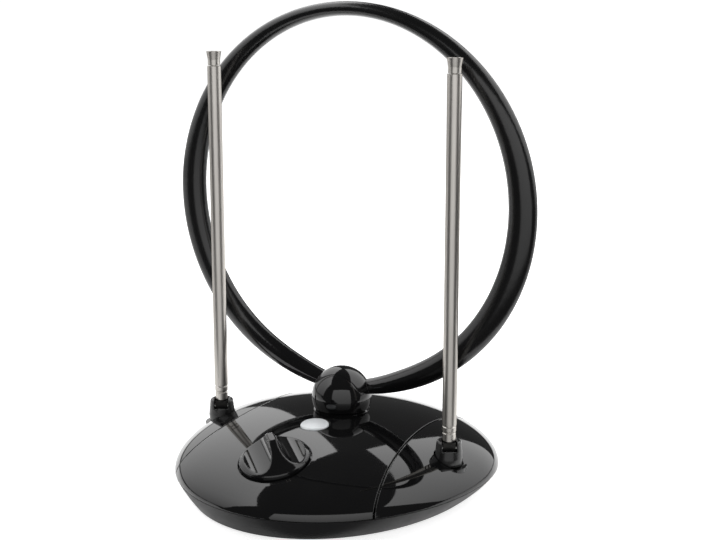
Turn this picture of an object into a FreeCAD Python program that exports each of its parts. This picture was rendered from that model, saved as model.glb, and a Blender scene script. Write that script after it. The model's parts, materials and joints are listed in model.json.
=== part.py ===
"""Indoor television antenna: a domed base with a tuning knob and a lit button, a round loop on a
tilting hub, and two telescopic rods on swivelling knuckles. Millimetres, +Z up, front along -Y.
The origin is on the table under the middle of the base."""
import FreeCAD
import Part
import math
import os

V = FreeCAD.Vector
UP = V(0, 0, 1)
ALONG_X = V(1, 0, 0)
ALONG_Y = V(0, 1, 0)

# base: egg-shaped outline, widest behind the middle
half_width = 82.5
front_reach = 95.0
rear_reach = 74.5
widest_y = (front_reach - rear_reach) / 2
front_end_y = widest_y - front_reach
rear_end_y = widest_y + rear_reach
rim_z = 12.0
dome_rise = 25.0
dome_round = 2.1
dome_fullness = 0.55
cover_wall = 2.4

# lower housing
floor_z = 1.5
floor_wall = 2.0
floor_side_slope = 10.0
floor_front_slope = 4.5
floor_rear_slope = 10.0
floor_half_width = half_width - floor_side_slope
floor_front_reach = front_reach - floor_front_slope
floor_rear_reach = rear_reach - floor_rear_slope
floor_bulge = 0.52
parting_gap = 0.3
lip_wall = 1.6
lip_gap = 0.9
lip_height = 1.7
lip_ledge = 0.5

# seams between the centre cover and the two wing covers
seam_x = half_width - 37.0
seam_y = 25.0
seam_radius = 330.0
seam_gap = 0.9
seam_lap = 1.8
lap_gap = 0.15

# feet
foot_radius = 5.5
foot_sink = 0.8
foot_gap = 0.2
foot_x = half_width - 39.5
foot_front_y = front_end_y + 41.75
foot_rear_y = rear_end_y - 40.75

# screws that hold the covers, from below
screw_radius = 1.45
screw_head_radius = 2.8
screw_head_height = 2.0
screw_length = 11.0
screw_gap = 0.2
pilot_gap = 0.05
post_radius = 3.6
post_wall = 1.6
post_meet_z = 9.2
centre_posts = [(seam_x - 12.5, front_end_y + 39.75), (seam_x - 12.5, rear_end_y - 32.75)]
wing_posts = [(half_width - 25.9, front_end_y + 54.75), (half_width - 24.5, rear_end_y - 50.75)]

# tuning knob, square to the dome where it stands
knob_y = front_end_y + 29.75
knob_radius = 17.2
knob_height = 12.2
knob_top_radius = 3.6
knob_skirt = 1.4
knob_gap = 0.8
knob_under_gap = 0.6
recess_depth = 3.2
recess_floor = 2.2
fin_turn = 46.0
fin_width = 4.0
scoop_radius = 9.0
shaft_radius = 3.0
shaft_gap = 0.05
bush_radius = 3.6
bush_gap = 0.1
pot_radius = 8.5
pot_height = 8.0

# lit push button
button_y = knob_y + 37.0
button_radius = 7.2
button_gap = 0.7
button_proud = 0.5
button_thick = 3.0
button_travel = 1.2
stem_radius = 2.2

# hub ball and the hood that tilts round it
ball_y = 9.2
ball_z = 43.8
ball_radius = 13.5
hood_gap = 0.3
hood_wall = 1.7
hood_drop = 5.8
hood_rear_slope = 18.0
lobe_radius = 6.2
lobe_depth = 3.3
stub_radius = 2.4
stub_gap = 0.06
stub_length = 2.6
neck_radius = 10.6
neck_gap = 0.4
collar_radius = 13.4
collar_rise = 0.3
flange_radius = 16.5
flange_thick = 2.5
pad_z = 33.0

# loop: oval band, slim at the top, broad at the sides
loop_radius = 95.4
loop_y = 15.4
loop_z = 145.0
band_top = 7.0
band_side = 14.4
band_bottom = 11.1
band_depth = 10.0
band_pinch = 4.5
pinch_spread = 0.24
cavity_thick = 3.0
cavity_depth = 5.2
element_gap = 0.5
loop_gap_angle = 16.0
loop_poles = 60
band_poles = 12

# rods: swivelling knuckle, ferrule, nested tubes and tip
rod_x = half_width - 15.0
rod_y = -3.0
seat_z = 22.0
seat_gap = 0.3
boss_radius = 8.9
pocket_gap = 0.4
pocket_wall = 1.7
boss_bottom_z = 14.0
spigot_radius = 3.0
swivel_gap = 0.06
clip_groove = 0.7
clip_thick = 1.0
clip_radius = 5.0
clip_gap = 0.3
knuckle_radius = 6.9
knuckle_foot_radius = 6.5
knuckle_top_radius = 5.6
knuckle_turn = 30.0
knuckle_top_z = 34.8
hinge_z = 30.6
hinge_pin_radius = 1.25
hinge_gap = 0.05
ferrule_radius = 3.25
slot_gap = 0.35
tilt_most = 50.0
tilt_room = 2.0
ferrule_ring_z = 39.0
tube_bottom_z = 42.6
tube_top_z = 211.5
tube_radius = 3.5
tube_wall = 0.35
tube_gap = 0.1
tube_count = 5
plug_length = 8.0
nest_gap = 0.8
tip_gap = 0.4
tip_height = 7.0
tip_foot_radius = 3.1
tip_mouth_radius = 3.8
tip_wall = 0.7

# circuit board and what stands on it
board_half_width = 25.0
board_front_y = button_y - 12.0
board_z = 4.3
board_thick = 1.6
can_length = 30.0
can_width = 22.0
can_height = 8.0
switch_size = 7.0
led_radius = 1.5
led_height = 5.0

# ballast bars
ballast_x = seam_x - 1.5
ballast_width = 13.0
ballast_length = 70.0
ballast_height = 7.0

# rear socket bay
bay_half_width = 21.0
bay_face_y = rear_end_y - 10.75
board_rear_y = bay_face_y - 6.5
bay_low_z = 3.9
bay_high_z = 18.9
bay_wall = 2.0
bay_gap = 0.3
socket_z = 11.4
coax_x = -9.0
coax_radius = 4.7
coax_length = rear_end_y - bay_face_y
coax_hex = 11.0
coax_hex_thick = 2.0
jack_x = 10.0
jack_hole_radius = 3.1
jack_pin_radius = 1.0
jack_width = 9.0
jack_height = 11.0
jack_length = 13.0
panel_hole_gap = 0.1

FAR = 300.0


def dome_height(x, y, inset=0.0):
    """Height of the dome over (x, y), inset by a wall thickness."""
    reach = front_reach if y < widest_y else rear_reach
    ratio = math.hypot(x / (half_width - inset), (y - widest_y) / (reach - inset))
    return rim_z + (dome_rise - inset) * max(0.0, 1 - min(ratio, 1.0) ** dome_round) ** dome_fullness


def dome_tilt(y):
    """Forward slope of the dome on the middle line, in degrees."""
    step = 0.5
    return math.degrees(math.atan((dome_height(0, y + step) - dome_height(0, y - step)) / (2 * step)))


def stretched(shape, across, along, z=0.0):
    """Scales a shape in X and Y about the widest line and lifts it."""
    return shape.transformGeometry(FreeCAD.Matrix(
        across, 0, 0, 0,
        0, along, 0, widest_y,
        0, 0, 1, z,
        0, 0, 0, 1))


def dome(inset=0.0, skirt=0.0):
    """Solid dome, inset by a wall thickness, with a straight skirt below the rim."""
    width = half_width - inset
    rise = dome_rise - inset
    points = []
    for step in range(19):
        ratio = math.sin(math.radians(5 * step))
        height = rise * max(0.0, 1 - ratio ** dome_round) ** dome_fullness
        points.append(V(width * ratio, 0, rim_z + height))
    curve = Part.BSplineCurve()
    curve.interpolate(Points=points, InitialTangent=V(1, 0, 0), FinalTangent=V(0, 0, -1))
    low = rim_z - skirt
    corners = [points[-1], V(width, 0, low), V(0, 0, low), points[0]]
    if skirt == 0.0:
        corners = corners[1:]
    edges = [curve.toShape()]
    edges += [Part.makeLine(a, b) for a, b in zip(corners, corners[1:])]
    face = Part.Face(Part.Wire(edges))
    rear = face.revolve(V(0, 0, 0), UP, 180)
    front = face.revolve(V(0, 0, 0), UP, -180)
    rear = stretched(rear, 1.0, (rear_reach - inset) / width)
    front = stretched(front, 1.0, (front_reach - inset) / width)
    return front.fuse(rear)


def egg(width, front, rear, z):
    """Closed egg-shaped wire at one height."""
    circle = Part.Circle(V(0, 0, 0), UP, 1.0)
    fore = stretched(Part.ArcOfCircle(circle, math.pi, 2 * math.pi).toShape(), width, front, z)
    aft = stretched(Part.ArcOfCircle(circle, 0, math.pi).toShape(), width, rear, z)
    return Part.Wire([fore, aft])


def egg_plate(inset, low, high):
    """Flat plate with the rim's outline, inset."""
    wire = egg(half_width - inset, front_reach - inset, rear_reach - inset, low)
    return Part.Face(wire).extrude(V(0, 0, high - low))


def bowl(inset, low, high, top_inset):
    """Lower body between two heights, inset from the outside."""
    wires = []
    for share, bulge in ((0.0, 0.0), (0.45, floor_bulge), (1.0, 1.0)):
        side = inset + (top_inset - inset) * share
        wires.append(egg(
            floor_half_width + (half_width - floor_half_width) * bulge - side,
            floor_front_reach + (front_reach - floor_front_reach) * bulge - side,
            floor_rear_reach + (rear_reach - floor_rear_reach) * bulge - side,
            low + (high - low) * share))
    return Part.makeLoft(wires, True)


def rod(radius, low, high, x=0.0, y=0.0):
    """Upright cylinder between two heights."""
    return Part.makeCylinder(radius, high - low, V(x, y, low))


def box(low, high):
    """Box between two corners."""
    return Part.makeBox(high[0] - low[0], high[1] - low[1], high[2] - low[2], V(*low))


def turned(profile):
    """Solid of revolution about Z from (radius, height) points."""
    points = [V(r, 0, z) for r, z in profile]
    wire = Part.makePolygon(points + [points[0]])
    return Part.Face(wire).revolve(V(0, 0, 0), UP, 360)


def moved(shape, x, y, z=0.0):
    """Copy of a shape, moved."""
    copy = shape.copy()
    copy.translate(V(x, y, z))
    return copy


def on_knuckle(shape, x):
    """Copy of a shape built about the origin, turned and set on a knuckle's place."""
    copy = shape.copy()
    copy.rotate(V(0, 0, 0), UP, knuckle_turn)
    copy.translate(V(x, rod_y, 0))
    return copy


def on_dome(shape, y, spin=0.0):
    """Copy of a shape built about the origin, set square to the dome on the middle line."""
    copy = shape.copy()
    copy.rotate(V(0, 0, 0), UP, spin)
    copy.rotate(V(0, 0, 0), ALONG_X, dome_tilt(y))
    copy.translate(V(0, y, dome_height(0, y)))
    return copy


def export(node, shape):
    """Writes one piece."""
    shape.exportStep("parts/" + node + ".step")


os.makedirs("parts", exist_ok=True)

# covers: one shell, parted along the two seams
outer_dome = dome()
inner_dome = dome(cover_wall, 5.0)
lap_dome = dome(cover_wall / 2, 5.0)
shell = outer_dome.cut(inner_dome)


def seam_cylinder(side, shrink):
    """Upright cylinder whose wall is the seam on one side."""
    return rod(seam_radius - shrink, 0, 60, side * (seam_x + seam_radius), seam_y)


# lower housing
housing_top_z = rim_z - parting_gap
housing = bowl(0.0, floor_z, housing_top_z, 0.0)
lip_inset = cover_wall + lip_gap
hollow_inset = lip_inset + lip_wall + lip_ledge
housing = housing.cut(bowl(floor_wall + 0.6, floor_z + floor_wall, housing_top_z + 0.4, hollow_inset))
lip_low_z = housing_top_z - 3.0
lip = egg_plate(lip_inset, lip_low_z, housing_top_z + lip_height)
lip = lip.cut(egg_plate(lip_inset + lip_wall, lip_low_z - 1, housing_top_z + lip_height + 1))
housing = housing.fuse(lip)

# rear socket bay, flush with the outside all round
bay_out = box((-bay_half_width - bay_wall, bay_face_y - bay_wall, floor_z + 0.5),
              (bay_half_width + bay_wall, bay_face_y + 40, bay_high_z + bay_wall))
bay_in = box((-bay_half_width, bay_face_y, bay_low_z), (bay_half_width, bay_face_y + 60, bay_high_z))
bay_low = bay_out.common(bowl(0.0, floor_z, housing_top_z, 0.0))
bay_high = bay_out.common(dome(0.0, parting_gap + 0.6))
bay = bay_low.fuse(bay_high)
housing = housing.fuse(bay).cut(bay_in)
bay_room = box((-bay_half_width - bay_wall - bay_gap, bay_face_y - bay_wall - bay_gap, 0),
               (bay_half_width + bay_wall + bay_gap, bay_face_y + 60, bay_high_z + bay_wall + bay_gap))

coax_hole = Part.makeCylinder(coax_radius + panel_hole_gap, 3 * bay_wall,
                              V(coax_x, bay_face_y - 2 * bay_wall, socket_z), ALONG_Y)
jack_hole = Part.makeCylinder(jack_hole_radius, 3 * bay_wall,
                              V(jack_x, bay_face_y - 2 * bay_wall, socket_z), ALONG_Y)
housing = housing.cut(coax_hole).cut(jack_hole)

# posts, screws and feet
inside_covers = dome(cover_wall / 2, 5.0)
screws = []
centre_additions = []
wing_additions = {-1: [], 1: []}
holes = []
head_seat_z = post_meet_z - 2.6
low_post_radius = screw_head_radius + screw_gap + post_wall
pilot_top_z = head_seat_z + screw_length + 1
for side in (-1, 1):
    for kind, places in (("centre", centre_posts), ("wing", wing_posts)):
        for x, y in places:
            housing = housing.fuse(rod(low_post_radius, floor_z, post_meet_z - 0.2, side * x, y))
            holes.append(rod(screw_head_radius + screw_gap, floor_z - 1, head_seat_z, side * x, y))
            holes.append(rod(screw_radius + screw_gap, head_seat_z - 1, post_meet_z + 1, side * x, y))
            high_post = rod(post_radius, post_meet_z, 60, side * x, y).common(inside_covers)
            pilot = rod(screw_radius + pilot_gap, post_meet_z - 1, pilot_top_z, side * x, y)
            high_post = high_post.cut(pilot)
            if kind == "centre":
                centre_additions.append(high_post)
            else:
                wing_additions[side].append(high_post)
            screw = turned([(0, head_seat_z - screw_head_height),
                            (screw_head_radius, head_seat_z - screw_head_height),
                            (screw_head_radius, head_seat_z),
                            (screw_radius, head_seat_z),
                            (screw_radius, head_seat_z + screw_length),
                            (0, head_seat_z + screw_length)])
            screws.append(moved(screw, side * x, y))
feet = {}
for side, side_name in ((-1, "left"), (1, "right")):
    for y, end_name in ((foot_front_y, "front"), (foot_rear_y, "rear")):
        foot = rod(foot_radius, 0, floor_z + foot_sink, side * foot_x, y)
        feet["foot_" + end_name + "_" + side_name] = foot
        holes.append(rod(foot_radius + foot_gap, floor_z - 1, floor_z + foot_sink, side * foot_x, y))
for hole in holes:
    housing = housing.cut(hole)
export("lower_housing", housing)
export("housing_screws", Part.makeCompound(screws))
for name, foot in feet.items():
    export(name, foot)

# centre cover: recess for the knob, holes for button and neck, pads below
centre = shell
for side in (-1, 1):
    centre = centre.cut(seam_cylinder(side, -seam_gap / 2))
    lap = lap_dome.cut(inner_dome)
    lap = lap.common(seam_cylinder(side, -seam_gap)).cut(seam_cylinder(side, seam_lap + seam_gap / 2))
    centre = centre.fuse(lap.cut(egg_plate(-5, rim_z - 10, rim_z + 4)))
recess_radius = knob_radius + knob_gap
well = on_dome(rod(recess_radius + cover_wall, -recess_depth - recess_floor, 20), knob_y)
centre = centre.fuse(well.common(outer_dome))
centre = centre.cut(on_dome(rod(recess_radius, -recess_depth, 40), knob_y))
centre = centre.cut(on_dome(rod(bush_radius + bush_gap, -20, 5), knob_y))
centre = centre.cut(on_dome(rod(button_radius + button_gap, -20, 20), button_y))
pad = rod(flange_radius, pad_z, 60, 0, ball_y).common(inside_covers)
collar_top = dome_height(0, ball_y) + collar_rise
collar = turned([(neck_radius + neck_gap, pad_z + 1), (collar_radius + 1.0, pad_z + 1),
                 (collar_radius + 1.0, collar_top - collar_rise - 0.3),
                 (collar_radius - 0.3, collar_top),
                 (neck_radius + neck_gap, collar_top)])
centre = centre.fuse(pad).fuse(moved(collar, 0, ball_y))
centre = centre.cut(rod(neck_radius + neck_gap, 0, 60, 0, ball_y))
for piece in centre_additions:
    centre = centre.fuse(piece)
centre = centre.cut(bay_room)
export("centre_cover", centre)

# wing covers: seat and pocket for the swivelling knuckle
for side, name in ((-1, "left"), (1, "right")):
    x = side * rod_x
    wing = shell.common(seam_cylinder(side, seam_gap / 2))
    lap_room = dome(cover_wall / 2 - lap_gap, 5.0).cut(seam_cylinder(side, seam_lap + seam_gap + 0.4))
    wing = wing.cut(lap_room.cut(egg_plate(-5, rim_z - 10, rim_z + 3.6)))
    pocket_radius = knuckle_radius + pocket_gap
    boss = rod(pocket_radius + pocket_wall, boss_bottom_z, 60, x, rod_y).common(outer_dome)
    boss = boss.fuse(rod(boss_radius, boss_bottom_z, seat_z, x, rod_y))
    wing = wing.fuse(boss)
    wing = wing.cut(rod(pocket_radius, seat_z, 60, x, rod_y))
    wing = wing.cut(rod(spigot_radius + swivel_gap, 0, 60, x, rod_y))
    for piece in wing_additions[side]:
        wing = wing.fuse(piece)
    export("wing_cover_" + name, wing)

# tuning knob: gumdrop with two scoops that leave a fin
knob_low = -recess_depth + knob_under_gap
knob = turned([(0, knob_low), (knob_radius - 0.6, knob_low), (knob_radius, knob_low + 0.6),
               (knob_radius, knob_skirt - 0.5), (knob_radius - 0.6, knob_skirt),
               (knob_top_radius + 1.2, knob_height - 0.6), (knob_top_radius, knob_height),
               (0, knob_height)])
scoop_z = knob_skirt + scoop_radius + 0.4
for side in (-1, 1):
    scoop_x = side * (fin_width / 2 + scoop_radius)
    scoop = Part.makeCylinder(scoop_radius, 80, V(scoop_x, -40, scoop_z), ALONG_Y)
    knob = knob.cut(scoop)
shaft_low = -recess_depth - recess_floor - pot_height + 2.0
shaft_high = knob_height / 2
knob = knob.cut(rod(shaft_radius, knob_low - 1, shaft_high))
export("gain_knob", on_dome(knob, knob_y, fin_turn))
shaft = rod(shaft_radius, shaft_low, shaft_high)
export("gain_shaft", on_dome(shaft, knob_y, fin_turn))
pot_top = -recess_depth - recess_floor
pot = rod(pot_radius, pot_top - pot_height, pot_top)
pot = pot.fuse(rod(bush_radius, pot_top - 1, -recess_depth + knob_under_gap / 3))
pot = pot.cut(rod(shaft_radius + shaft_gap, shaft_low - 0.2, 20))
export("gain_control", on_dome(pot, knob_y))

# lit button with a stem down to the switch
board_top_z = board_z + board_thick
switch_height = 5.5
button = turned([(0, button_proud - button_thick), (button_radius, button_proud - button_thick),
                 (button_radius, button_proud - 0.6), (button_radius - 0.5, button_proud - 0.1),
                 (button_radius / 2, button_proud + 0.25), (0, button_proud + 0.4)])
stem_tilt = math.radians(dome_tilt(button_y))
stem_drop = dome_height(0, button_y) - board_top_z - switch_height - 1.0
stem_length = stem_drop / math.cos(stem_tilt) - button_travel
button = button.fuse(rod(stem_radius, -stem_length, button_proud - button_thick + 0.5))
export("power_button", on_dome(button, button_y))
switch_y = button_y + stem_length * math.sin(stem_tilt)
switch = box((-switch_size / 2, switch_y - switch_size / 2, board_top_z),
             (switch_size / 2, switch_y + switch_size / 2, board_top_z + switch_height - 1.5))
switch = switch.fuse(rod(1.6, board_top_z + 1, board_top_z + switch_height - 0.4, 0, switch_y))
export("power_switch", switch)
led_x = switch_size / 2 + led_radius + 2.0
export("indicator_lamp", rod(led_radius, board_top_z, board_top_z + led_height, led_x, switch_y))

# circuit board, shield can, sockets
board = box((-board_half_width, board_front_y, board_z), (board_half_width, board_rear_y, board_top_z))
export("amplifier_board", board)
can_y = (board_rear_y + switch_y) / 2
can = box((-can_length / 2, can_y - can_width / 2, board_top_z),
          (can_length / 2, can_y + can_width / 2, board_top_z + can_height))
can = can.cut(box((-can_length / 2 + 0.5, can_y - can_width / 2 + 0.5, board_top_z - 1),
                  (can_length / 2 - 0.5, can_y + can_width / 2 - 0.5, board_top_z + can_height - 0.5)))
export("shield_can", can)
coax = Part.makeCylinder(coax_radius, coax_length + bay_wall,
                         V(coax_x, bay_face_y - bay_wall, socket_z), ALONG_Y)
hexagon = Part.makePolygon([V(coax_x + coax_hex / math.sqrt(3) * math.cos(math.radians(60 * i)), bay_face_y,
                              socket_z + coax_hex / math.sqrt(3) * math.sin(math.radians(60 * i)))
                            for i in range(7)])
coax = coax.fuse(Part.Face(hexagon).extrude(V(0, coax_hex_thick, 0)))
block_y = bay_face_y - bay_wall - 0.2
coax = coax.fuse(box((coax_x - 5.5, block_y - 9, board_top_z), (coax_x + 5.5, block_y, socket_z + 5.5)))
coax = coax.fuse(Part.makeCylinder(coax_radius, 1, V(coax_x, block_y - 0.5, socket_z), ALONG_Y))
coax_tip_y = bay_face_y + coax_length
coax = coax.cut(Part.makeCylinder(coax_radius - 0.9, 7, V(coax_x, coax_tip_y - 6, socket_z), ALONG_Y))
export("coax_socket", coax)
insert = Part.makeCylinder(coax_radius - 0.9, 5.2, V(coax_x, coax_tip_y - 6, socket_z), ALONG_Y)
insert = insert.cut(Part.makeCylinder(0.6, 8, V(coax_x, coax_tip_y - 4, socket_z), ALONG_Y))
export("coax_insert", insert)
jack = box((jack_x - jack_width / 2, block_y - jack_length, board_top_z),
           (jack_x + jack_width / 2, block_y, board_top_z + jack_height))
jack = jack.cut(Part.makeCylinder(jack_hole_radius, 10, V(jack_x, block_y - 9, socket_z), ALONG_Y))
jack = jack.fuse(Part.makeCylinder(jack_pin_radius, 9.5, V(jack_x, block_y - 9.5, socket_z), ALONG_Y))
export("power_jack", jack)

# ballast bars on the floor
for side, name in ((-1, "left"), (1, "right")):
    middle = side * ballast_x
    bar = box((middle - ballast_width / 2, -ballast_length / 2, floor_z + floor_wall),
              (middle + ballast_width / 2, ballast_length / 2, floor_z + floor_wall + ballast_height))
    export("ballast_" + name, bar)

# hub ball on its neck
ball_centre = V(0, ball_y, ball_z)
ball = Part.makeSphere(ball_radius, ball_centre)
ball = ball.cut(box((-30, ball_y - 30, -30), (30, ball_y + 30, collar_top + neck_gap)))
ball = ball.fuse(rod(neck_radius, pad_z - flange_thick, collar_top + 2 * neck_gap, 0, ball_y))
ball = ball.fuse(rod(flange_radius, pad_z - flange_thick, pad_z, 0, ball_y))
hood_radius = ball_radius + hood_gap + hood_wall
stub_tip = hood_radius - hood_wall - stub_length
for side in (-1, 1):
    stub_hole = Part.makeCylinder(stub_radius + stub_gap, 20, V(side * (stub_tip - 0.4), ball_y, ball_z),
                                  V(side, 0, 0))
    ball = ball.cut(stub_hole)
export("hub_ball", ball)

# loop: two half shells with the hood, and the element inside
loop_centre = V(0, loop_y, loop_z)


def band_half(turn):
    """Half the band's thickness at an angle from the top."""
    tilt = (band_top - band_bottom) / 4
    ends = (band_top + band_bottom) / 4
    middle = (ends + band_side / 2) / 2
    return middle + tilt * math.cos(turn) + (ends - middle) * math.cos(2 * turn)


def band():
    """Closed oval band as one smooth surface. A cubic spline runs inside its poles, so the poles
    stand out by as much as it shrinks."""
    round_shrink = (2 + math.cos(2 * math.pi / loop_poles)) / 3
    oval_shrink = (2 + math.cos(2 * math.pi / band_poles)) / 3
    poles = []
    for i in range(loop_poles):
        turn = 2 * math.pi * i / loop_poles
        row = []
        for j in range(band_poles):
            across = 2 * math.pi * j / band_poles
            pinch = band_pinch / 2 * math.exp(-((turn - math.pi) / pinch_spread) ** 2)
            half = band_half(turn) - pinch
            r = (loop_radius + pinch + half * math.cos(across) / oval_shrink) / round_shrink
            y = loop_y + band_depth / 2 * math.sin(across) / oval_shrink
            row.append(V(r * math.sin(turn), y, loop_z + r * math.cos(turn)))
        poles.append(row)
    surface = Part.BSplineSurface()
    surface.buildFromPolesMultsKnots(
        poles, [1] * (loop_poles + 1), [1] * (band_poles + 1),
        list(range(loop_poles + 1)), list(range(band_poles + 1)), True, True, 3, 3)
    return Part.Solid(Part.Shell([surface.toShape()]))


def ring_part(half_thick, half_depth, open_angle):
    """Square-section ring about the loop's centre, open at the hub."""
    low = V(loop_radius - half_thick, loop_y - half_depth, loop_z)
    section = Part.makePolygon([low, low + V(2 * half_thick, 0, 0),
                                low + V(2 * half_thick, 2 * half_depth, 0),
                                low + V(0, 2 * half_depth, 0), low])
    ring = Part.Face(section).revolve(loop_centre, ALONG_Y, 360 - 2 * open_angle)
    ring.rotate(loop_centre, ALONG_Y, 90 + open_angle)
    return ring


cavity = ring_part(cavity_thick / 2, cavity_depth / 2, loop_gap_angle)
hood = Part.makeSphere(hood_radius, ball_centre)
below = box((-40, -60, 0), (40, 90, ball_z - hood_drop))
behind = box((-40, 0, -80), (40, 60, 0))
behind.rotate(V(0, 0, 0), ALONG_X, hood_rear_slope)
behind = behind.common(box((-40, 0, -80), (40, 60, 80)))
behind.translate(ball_centre)
across_hood = Part.makeCylinder(lobe_radius, 4 * hood_radius, V(-2 * hood_radius, ball_y, ball_z), ALONG_X)
lobes = hood.common(across_hood)
lobe_x = hood_radius - lobe_depth
lobes = lobes.cut(box((-lobe_x, -60, -60), (lobe_x, 90, 120)))
hood = hood.cut(below).cut(behind).fuse(lobes)
clear_ball = Part.makeSphere(ball_radius + hood_gap, ball_centre)
front_half = box((-FAR, -FAR, -FAR), (FAR, loop_y, FAR))
rear_half = box((-FAR, loop_y, -FAR), (FAR, FAR, FAR))
whole = band()
front_shell = whole.common(front_half).fuse(hood.common(front_half)).cut(cavity).cut(clear_ball)
for side in (-1, 1):
    stub = Part.makeCylinder(stub_radius, stub_length + hood_wall / 2, V(side * stub_tip, ball_y, ball_z),
                             V(side, 0, 0))
    front_shell = front_shell.fuse(stub)
rear_shell = whole.common(rear_half).fuse(hood.common(rear_half)).cut(cavity).cut(clear_ball)
export("loop_front_shell", front_shell)
export("loop_rear_shell", rear_shell)
element_half_thick = cavity_thick / 2 - element_gap
element_half_depth = cavity_depth / 2 - element_gap
export("loop_element", ring_part(element_half_thick, element_half_depth, loop_gap_angle + 1.0))

# rods, the same on both sides
slot_half = ferrule_radius + slot_gap
knuckle_low_z = seat_z + seat_gap
clip_z = boss_bottom_z - clip_gap - clip_thick
spigot_low_z = clip_z - 1.2
knuckle = turned([(0, knuckle_low_z), (knuckle_foot_radius - 0.4, knuckle_low_z),
                  (knuckle_foot_radius, knuckle_low_z + 0.5),
                  (knuckle_radius - 0.1, knuckle_low_z + 2.5), (knuckle_radius, knuckle_low_z + 4.0),
                  (knuckle_radius - 0.3, hinge_z - 0.5), (knuckle_top_radius + 0.5, knuckle_top_z - 0.6),
                  (knuckle_top_radius - 0.2, knuckle_top_z), (0, knuckle_top_z)])
slot_low_z = hinge_z - ferrule_radius - slot_gap
knuckle = knuckle.cut(box((-slot_half, -slot_half, slot_low_z), (slot_half, slot_half, 60)))
notch = box((-slot_half, -slot_half, 0), (slot_half, slot_half, 60))
notch.rotate(V(0, 0, 0), ALONG_X, tilt_most + tilt_room)
notch = notch.common(box((-slot_half, -60, -20), (slot_half, slot_half, 60)))
knuckle = knuckle.cut(moved(notch, 0, 0, hinge_z))
knuckle = knuckle.fuse(rod(spigot_radius, spigot_low_z, knuckle_low_z + 0.5))
groove = rod(spigot_radius + 1, clip_z, clip_z + clip_thick).cut(
    rod(spigot_radius - clip_groove, clip_z - 1, clip_z + clip_thick + 1))
knuckle = knuckle.cut(groove)
pin_half = knuckle_radius - 0.9
pin_hole = Part.makeCylinder(hinge_pin_radius, 40, V(-20, 0, hinge_z), ALONG_X)
knuckle = knuckle.cut(pin_hole)
hinge_pin = Part.makeCylinder(hinge_pin_radius, 2 * pin_half, V(-pin_half, 0, hinge_z), ALONG_X)
clip = rod(clip_radius, clip_z, clip_z + clip_thick)
clip = clip.cut(rod(spigot_radius - clip_groove, clip_z - 1, clip_z + 3))
clip = clip.cut(box((-1.4, -20, clip_z - 1), (1.4, 0, clip_z + 3)))

bore_radius = tube_radius - tube_wall
plug_top_z = tube_bottom_z + plug_length
ferrule = turned([(0, knuckle_top_z - 1.2), (ferrule_radius, knuckle_top_z - 1.2),
                  (ferrule_radius, ferrule_ring_z - 0.5),
                  (ferrule_radius - 0.35, ferrule_ring_z - 0.2),
                  (ferrule_radius - 0.35, ferrule_ring_z + 0.2),
                  (ferrule_radius + 0.1, ferrule_ring_z + 0.6), (ferrule_radius + 0.1, tube_bottom_z - 0.9),
                  (ferrule_radius - 0.25, tube_bottom_z - 0.5), (ferrule_radius - 0.25, tube_bottom_z),
                  (bore_radius - tube_gap / 2, tube_bottom_z), (bore_radius - tube_gap / 2, plug_top_z),
                  (0, plug_top_z)])
eye_half = ferrule_radius - 0.2
eye = Part.makeCylinder(eye_half, 2 * eye_half, V(-eye_half, 0, hinge_z), ALONG_X)
eye = eye.fuse(box((-eye_half, -eye_half, hinge_z), (eye_half, eye_half, knuckle_top_z - 0.8)))
ferrule = ferrule.fuse(eye)
ferrule = ferrule.cut(Part.makeCylinder(hinge_pin_radius + hinge_gap, 40, V(-20, 0, hinge_z), ALONG_X))

tubes = []
radius = tube_radius
for index in range(tube_count):
    low = tube_bottom_z if index == 0 else plug_top_z + nest_gap * index
    high = tube_top_z
    tube = rod(radius, low, high)
    inner = radius - tube_wall
    if index < tube_count - 1:
        tube = tube.cut(rod(inner, low - 1, high + 1))
    else:
        tube = rod(radius, low, tube_top_z + tip_gap + tip_height / 3)
        last_radius = radius
    tubes.append(tube)
    radius = inner - tube_gap
tip_low_z = tube_top_z + tip_gap
tip_high_z = tip_low_z + tip_height
waist_z = tip_low_z + tip_height * 0.4
tip = turned([(last_radius, tip_low_z), (tip_foot_radius, tip_low_z), (tip_foot_radius, waist_z),
              (tip_mouth_radius, tip_high_z), (tip_mouth_radius - tip_wall, tip_high_z),
              (tip_foot_radius - tip_wall, waist_z + 0.4), (last_radius, waist_z)])

for side, name in ((-1, "left"), (1, "right")):
    x = side * rod_x
    export(name + "_knuckle", on_knuckle(knuckle, x))
    export(name + "_swivel_clip", on_knuckle(clip, x))
    export(name + "_hinge_pin", on_knuckle(hinge_pin, x))
    export(name + "_ferrule", on_knuckle(ferrule, x))
    for index, tube in enumerate(tubes):
        export(name + "_tube_" + str(index + 1), moved(tube, x, rod_y))
    export(name + "_tip", moved(tip, x, rod_y))
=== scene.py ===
import bpy
import json
import math
from mathutils import Matrix, Vector


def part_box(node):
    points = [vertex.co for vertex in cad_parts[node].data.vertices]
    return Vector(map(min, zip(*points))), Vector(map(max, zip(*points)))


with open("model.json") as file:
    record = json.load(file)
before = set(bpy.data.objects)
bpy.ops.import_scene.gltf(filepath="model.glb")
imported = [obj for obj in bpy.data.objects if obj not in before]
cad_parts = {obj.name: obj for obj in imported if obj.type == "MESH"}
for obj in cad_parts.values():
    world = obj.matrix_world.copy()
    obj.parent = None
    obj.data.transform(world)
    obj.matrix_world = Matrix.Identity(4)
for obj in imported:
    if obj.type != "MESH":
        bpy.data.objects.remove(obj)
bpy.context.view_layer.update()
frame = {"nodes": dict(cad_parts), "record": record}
scene = bpy.context.scene
nodes = frame["nodes"]
SIDES = ("left", "right")

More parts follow.
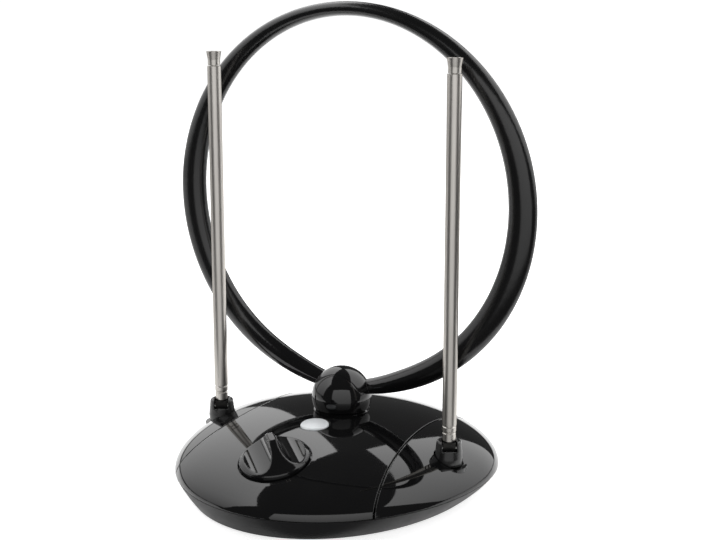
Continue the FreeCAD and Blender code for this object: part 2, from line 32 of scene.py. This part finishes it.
# camera at the photograph's place: metres, degrees, and millimetres for the lens
CAMERA_PLACE = (0.3209, -0.54385, 0.2476)
CAMERA_PITCH = 77.863
CAMERA_TURN = 29.365
CAMERA_LENS = 64.67
CAMERA_SENSOR = 36.0
CAMERA_CLIP = 200.0
CAMERA_FAR = math.hypot(CAMERA_PLACE[0], CAMERA_PLACE[1])
VIEW_AZIMUTH = 180.0 - CAMERA_TURN

# soft boxes: azimuth in degrees from +Y towards +X, then in metres width, shift to the side,
# distance of the lower and the upper edge, height of both, and last the light at both
SOFT_BOXES = {
    "soft_box_left": (-90, 3.19, 0.13, 1.5, 0.958, 0.075, 1.96, 0.8, 2.7),
    "soft_box_right": (40, 1.77, 0.0, 1.5, 0.487, 0.05, 1.0, 1.3, 2.2),
    "soft_box_front": (VIEW_AZIMUTH, 2.2, 0.0, 1.5, 1.5, -0.6, 1.15, 0.75, 1.6),
}
WORLD_LIGHT = 0.08

# floor: its front edge is just below the picture, and it is white in the picture and grey beside it
FLOOR_FRONT = 0.078
FLOOR_BEND = 30.0
FLOOR_REACH = 40.0
FLOOR_RISE = 0.4
FLOOR_COLOUR = (0.8, 0.8, 0.8, 1)
FLOOR_ROUGHNESS = 0.9
FLOOR_SPECULAR = 0.1
PICTURE_SLOPE = 0.307
FADE_SLOPE = 0.42
SIDE_SHARE = 0.2
GLOW_NEAR = 0.72
GLOW_FAR = 1.0
GLOW_START = 0.1
GLOW_END = 0.6

# looks: the gloss of the hub ends between two heights, and edges are rounded by a grain and passes
HUB_GLOSS_END = 0.056
BAND_SATIN_START = 0.08
BAND_SATIN = 0.14
KNOB_GRAIN, KNOB_PASSES = 0.0003, 12
KNUCKLE_GRAIN, KNUCKLE_PASSES = 0.0002, 8
EDGE_TINT = (0.6, 0.58, 0.55, 1)
GLOSS_BLACK = (0.0042, 0.0042, 0.0045), (0.0055, 0.0055, 0.0058)
KNUCKLE_BLACK = (0.008, 0.008, 0.008), (0.011, 0.011, 0.011)

# dark and light colour, roughness range, grain scale and height, edge radius, specular level
PLASTICS = {
    "cover_black": (*GLOSS_BLACK, (0.03, 0.06), 300, 0, 0.0005),
    "housing_black": ((0.016, 0.016, 0.0165), (0.02, 0.02, 0.0205), (0.42, 0.5), 1400, 0.00002,
                      0.0005, 0.25),
    "knob_black": (*GLOSS_BLACK, (0.06, 0.1), 300, 0, 0.0007),
    "loop_black": (*GLOSS_BLACK, (0.06, 0.1), 600, 0.000002, 0.0003),
    "knuckle_black": (*KNUCKLE_BLACK, (0.22, 0.3), 1200, 0.00001, 0.0006),
    "button_white": ((0.80, 0.83, 0.85), (0.85, 0.88, 0.90), (0.2, 0.28), 900, 0.000004, 0.0003),
    "lamp_clear": ((0.8, 0.8, 0.76), (0.86, 0.86, 0.82), (0.08, 0.15), 900, 0),
    "rubber_black": ((0.012, 0.012, 0.012), (0.022, 0.022, 0.022), (0.7, 0.85), 1500, 0.00006, 0.0004),
    "insert_white": ((0.74, 0.74, 0.7), (0.82, 0.82, 0.78), (0.4, 0.5), 900, 0.00001),
    "board_green": ((0.02, 0.1, 0.045), (0.03, 0.14, 0.06), (0.25, 0.4), 700, 0.00003),
    "component_dark": ((0.025, 0.025, 0.027), (0.04, 0.04, 0.043), (0.4, 0.55), 900, 0.00002),
}
COLOUR_SCALE = 60
GLOSS_SCALE = 140

# dark and light colour, roughness range, streak scales, anisotropy, streak height, edge radius
METALS = {
    "nickel": ((0.46, 0.44, 0.415), (0.53, 0.51, 0.48), (0.28, 0.34), (2600, 2600, 40), 0.4, 0, 0.0002),
    "screw_steel": ((0.45, 0.45, 0.44), (0.6, 0.6, 0.58), (0.25, 0.4), (900, 900, 900), 0, 0, 0.0002),
    "ballast_steel": ((0.12, 0.115, 0.11), (0.22, 0.21, 0.2), (0.45, 0.65), (400, 60, 400), 0, 0.00003),
    "can_tin": ((0.55, 0.55, 0.53), (0.68, 0.68, 0.65), (0.25, 0.4), (60, 700, 700)),
    "socket_nickel": ((0.55, 0.53, 0.49), (0.68, 0.66, 0.61), (0.15, 0.25), (500, 2500, 500), 0, 0,
                      0.0003),
    "element_metal": ((0.7, 0.7, 0.71), (0.8, 0.8, 0.81), (0.25, 0.4), (80, 900, 80)),
}
WEAR_SHARE = 0.6
NOISE_LOW, NOISE_HIGH = 0.3, 0.7


# nodes

def new_material(name):
    """Node material with a Principled shader: (material, tree, shader)."""
    mat = bpy.data.materials.new(name)
    mat.use_nodes = True
    tree = mat.node_tree
    return mat, tree, tree.nodes["Principled BSDF"]


def add(tree, kind, **values):
    """Adds a node and sets its properties and input values."""
    node = tree.nodes.new(kind)
    for key, value in values.items():
        if key in node.inputs:
            node.inputs[key].default_value = value
        else:
            setattr(node, key, value)
    return node


def number(tree, operation, *inputs):
    """Math node on sockets or plain numbers: its result."""
    node = add(tree, "ShaderNodeMath", operation=operation)
    for socket, value in zip(node.inputs, inputs):
        if isinstance(value, (int, float)):
            socket.default_value = value
        else:
            tree.links.new(value, socket)
    return node.outputs[0]


def ranged(tree, value, start, end, low, high):
    """Maps a socket's value from one range onto another."""
    node = add(tree, "ShaderNodeMapRange",
               **{"From Min": start, "From Max": end, "To Min": low, "To Max": high})
    tree.links.new(value, node.inputs["Value"])
    return node.outputs["Result"]


def part_of(tree, vector, axis):
    """One coordinate of a vector socket."""
    split = add(tree, "ShaderNodeSeparateXYZ")
    tree.links.new(vector, split.inputs[0])
    return split.outputs[axis]


def height_of(tree):
    """A point's height at rest, in metres."""
    return part_of(tree, add(tree, "ShaderNodeTexCoord").outputs["Object"], "Z")


def noise(tree, scale, detail=4.0, stretch=None):
    """Noise in object space, in metres, stretched along an axis if asked."""
    place = add(tree, "ShaderNodeTexCoord").outputs["Object"]
    tex = add(tree, "ShaderNodeTexNoise", Scale=scale, Detail=detail)
    if stretch:
        mapping = add(tree, "ShaderNodeMapping", Scale=stretch)
        tree.links.new(place, mapping.inputs["Vector"])
        place = mapping.outputs["Vector"]
    tree.links.new(place, tex.inputs["Vector"])
    return tex.outputs["Fac"]


def spread(tree, tex, low, high):
    """Maps a noise onto a range of values."""
    return ranged(tree, tex, NOISE_LOW, NOISE_HIGH, low, high)


def tint(tree, tex, dark, light):
    """Colour ramp on a noise."""
    ramp = add(tree, "ShaderNodeValToRGB")
    for element, position, colour in zip(ramp.color_ramp.elements, (NOISE_LOW, NOISE_HIGH), (dark, light)):
        element.position = position
        element.color = (*colour, 1)
    tree.links.new(tex, ramp.inputs["Fac"])
    return ramp.outputs["Color"]


# materials

def surface(tree, shader, tex, height, edge):
    """Bump of a height in metres over edges that look rounded by a radius in metres."""
    normal = None
    if edge:
        normal = add(tree, "ShaderNodeBevel", samples=6, Radius=edge).outputs["Normal"]
    if height:
        node = add(tree, "ShaderNodeBump", Distance=height)
        tree.links.new(tex, node.inputs["Height"])
        if normal:
            tree.links.new(normal, node.inputs["Normal"])
        normal = node.outputs["Normal"]
    if normal:
        tree.links.new(normal, shader.inputs["Normal"])


def plastic(name, dark, light, rough, grain, height, edge=0.0, specular=0.5):
    """Moulded plastic with faint colour and gloss variation."""
    mat, tree, shader = new_material(name)
    shader.inputs["Specular IOR Level"].default_value = specular
    tree.links.new(tint(tree, noise(tree, COLOUR_SCALE), dark, light), shader.inputs["Base Color"])
    tree.links.new(spread(tree, noise(tree, GLOSS_SCALE, 6), *rough), shader.inputs["Roughness"])
    surface(tree, shader, noise(tree, grain, 2), height, edge)
    return mat


def metal(name, dark, light, rough, streak, anisotropic=0.0, height=0.0, edge=0.0):
    """Metal with drawn or rolled streaks."""
    mat, tree, shader = new_material(name)
    shader.inputs["Metallic"].default_value = 1.0
    shader.inputs["Specular Tint"].default_value = EDGE_TINT
    shader.inputs["Anisotropic"].default_value = anisotropic
    lines = noise(tree, 1.0, 5, streak)
    tree.links.new(tint(tree, lines, dark, light), shader.inputs["Base Color"])
    wear = noise(tree, 1.0, 6, tuple(WEAR_SHARE * scale for scale in streak))
    tree.links.new(spread(tree, wear, *rough), shader.inputs["Roughness"])
    surface(tree, shader, lines, height, edge)
    return mat


def polish_hub(mat, low, high, satin):
    """Keeps the gloss below one height and lets it fade to satin above another, in metres."""
    tree = mat.node_tree
    rough = tree.nodes["Principled BSDF"].inputs["Roughness"]
    fade = ranged(tree, height_of(tree), low, high, 0.0, satin)
    tree.links.new(number(tree, "ADD", rough.links[0].from_socket, fade), rough)


def painted_cup_shade(mat, height):
    """Copy of a metal with painted shade below a height, in metres: there it is painted black and not
    metallic.
    """
    mat = mat.copy()
    mat.name = "ferrule_nickel_painted_shade"
    tree = mat.node_tree
    shader = tree.nodes["Principled BSDF"]
    # painted shade mask: 1 above the height, 0 below it, where the shade is painted
    above = number(tree, "GREATER_THAN", height_of(tree), height)
    shade = add(tree, "ShaderNodeMix", data_type="RGBA")
    # a Mix node's colour sockets share their names with others, so they go by number
    factor, painted_shade_colour, above_colour, result = (
        shade.inputs[0], shade.inputs[6], shade.inputs[7], shade.outputs[2])
    # painted shade: the knuckle's black stands in for the shade inside the knuckle's cup
    painted_shade_colour.default_value = (*KNUCKLE_BLACK[0], 1)
    tree.links.new(above, factor)
    tree.links.new(shader.inputs["Base Color"].links[0].from_socket, above_colour)
    tree.links.new(result, shader.inputs["Base Color"])
    tree.links.new(above, shader.inputs["Metallic"])
    return mat


def soften(node, grain, passes):
    """Rounds the edges of a moulded piece: a fine even mesh, smoothed a few times."""
    even = node.modifiers.new("even", "REMESH")
    even.mode = "VOXEL"
    even.voxel_size = grain
    even.use_smooth_shade = True
    smooth = node.modifiers.new("smooth", "SMOOTH")
    smooth.factor = 0.5
    smooth.iterations = passes


looks = {name: plastic(name, *values) for name, values in PLASTICS.items()}
looks.update({name: metal(name, *values) for name, values in METALS.items()})
polish_hub(looks["loop_black"], HUB_GLOSS_END, BAND_SATIN_START, BAND_SATIN)
# painted shade: the ferrules are black below the knuckle's top, where the knuckle's cup shades them
ferrule_look = painted_cup_shade(looks["nickel"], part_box("left_knuckle")[1][2])

slot_of = {part["node"]: part["material_slot"] for part in frame["record"]["subparts"]}
for name, node in nodes.items():
    node.data.materials.clear()
    node.data.materials.append(looks[slot_of[name]])
soften(nodes["gain_knob"], KNOB_GRAIN, KNOB_PASSES)
for side in SIDES:
    # the ferrule's nickel with painted shade inside the knuckle's cup
    nodes[side + "_ferrule"].data.materials[0] = ferrule_look
    soften(nodes[side + "_knuckle"], KNUCKLE_GRAIN, KNUCKLE_PASSES)


# studio

def direction(azimuth):
    """Level direction at an azimuth in degrees from +Y towards +X."""
    turn = math.radians(azimuth)
    return Vector((math.sin(turn), math.cos(turn), 0))


def soft_box(name, azimuth, width, shift, low_far, high_far, low, high, dim, bright):
    """Soft box that leans over the object, dimmer at its lower edge."""
    away = direction(azimuth)
    side = Vector((away.y, -away.x, 0))
    bottom = away * low_far + side * shift + Vector((0, 0, low))
    top = away * high_far + side * shift + Vector((0, 0, high))
    tall = top - bottom
    lamp = bpy.data.lights.new(name, "AREA")
    lamp.shape = "RECTANGLE"
    lamp.size = width
    lamp.size_y = tall.length
    lamp.energy = width * tall.length * math.pi
    lamp.use_nodes = True
    tree = lamp.node_tree
    along = part_of(tree, add(tree, "ShaderNodeNewGeometry").outputs["Parametric"], "Y")
    tree.links.new(ranged(tree, along, 0.0, 1.0, dim, bright), tree.nodes["Emission"].inputs["Strength"])
    box = bpy.data.objects.new(name, lamp)
    scene.collection.objects.link(box)
    rise = tall.normalized()
    back = side.cross(rise).normalized()
    if back.dot(away) < 0:
        back = -back
    box.matrix_world = Matrix.Translation((bottom + top) / 2) @ Matrix(
        (rise.cross(back), rise, back)).transposed().to_4x4()
    box.visible_camera = False


for name, values in SOFT_BOXES.items():
    soft_box(name, *values)

world = bpy.data.worlds.new("studio")
world.use_nodes = True
background = world.node_tree.nodes["Background"]
background.inputs["Color"].default_value = (1, 1, 1, 1)
background.inputs["Strength"].default_value = WORLD_LIGHT
scene.world = world

towards_camera = direction(VIEW_AZIMUTH)
to_the_side = Vector((-towards_camera.y, towards_camera.x, 0))


def floor_look():
    """Pale floor that keeps shadows and looks white to the camera and in gloss and glass."""
    mat, tree, shader = new_material("floor_white")
    shader.inputs["Base Color"].default_value = FLOOR_COLOUR
    shader.inputs["Roughness"].default_value = FLOOR_ROUGHNESS
    shader.inputs["Specular IOR Level"].default_value = FLOOR_SPECULAR
    position = add(tree, "ShaderNodeNewGeometry").outputs["Position"]

    def along(axis):
        """How far a point of the floor lies along an axis, in metres."""
        node = add(tree, "ShaderNodeVectorMath", operation="DOT_PRODUCT")
        node.inputs[1].default_value = axis
        tree.links.new(position, node.inputs[0])
        return node.outputs["Value"]

    path = add(tree, "ShaderNodeLightPath").outputs
    seen = number(tree, "MAXIMUM", path["Is Camera Ray"], path["Is Glossy Ray"])
    seen = number(tree, "MAXIMUM", seen, path["Is Transmission Ray"])
    from_camera = number(tree, "MAXIMUM", number(tree, "ADD", along(-towards_camera), CAMERA_FAR), 0.01)
    slope = number(tree, "DIVIDE", number(tree, "ABSOLUTE", along(to_the_side)), from_camera)
    share = ranged(tree, slope, PICTURE_SLOPE, FADE_SLOPE, 1.0, SIDE_SHARE)
    far = add(tree, "ShaderNodeVectorMath", operation="LENGTH")
    tree.links.new(position, far.inputs[0])
    white = ranged(tree, far.outputs["Value"], GLOW_START, GLOW_END, GLOW_NEAR, GLOW_FAR)
    glow = add(tree, "ShaderNodeEmission")
    tree.links.new(number(tree, "MULTIPLY", number(tree, "MULTIPLY", white, share), seen),
                   glow.inputs["Strength"])
    both = add(tree, "ShaderNodeAddShader")
    tree.links.new(shader.outputs[0], both.inputs[0])
    tree.links.new(glow.outputs[0], both.inputs[1])
    tree.links.new(both.outputs[0], tree.nodes["Material Output"].inputs["Surface"])
    return mat


points = []
for behind, height in ((-FLOOR_FRONT, 0.0), (FLOOR_BEND, 0.0), (FLOOR_REACH, FLOOR_RISE)):
    for across in (-FLOOR_REACH, FLOOR_REACH):
        points.append(to_the_side * across - towards_camera * behind + Vector((0, 0, height)))
mesh = bpy.data.meshes.new("floor")
mesh.from_pydata(points, [], [(0, 1, 3, 2), (2, 3, 5, 4)])
mesh.materials.append(floor_look())
floor = bpy.data.objects.new("floor", mesh)
scene.collection.objects.link(floor)

camera_data = bpy.data.cameras.new("camera")
camera_data.sensor_width = CAMERA_SENSOR
camera_data.lens = CAMERA_LENS
camera_data.clip_end = CAMERA_CLIP
camera = bpy.data.objects.new("camera", camera_data)
camera.location = CAMERA_PLACE
camera.rotation_euler = (math.radians(CAMERA_PITCH), 0, math.radians(CAMERA_TURN))
scene.collection.objects.link(camera)
scene.camera = camera
scene.view_settings.view_transform = "Standard"
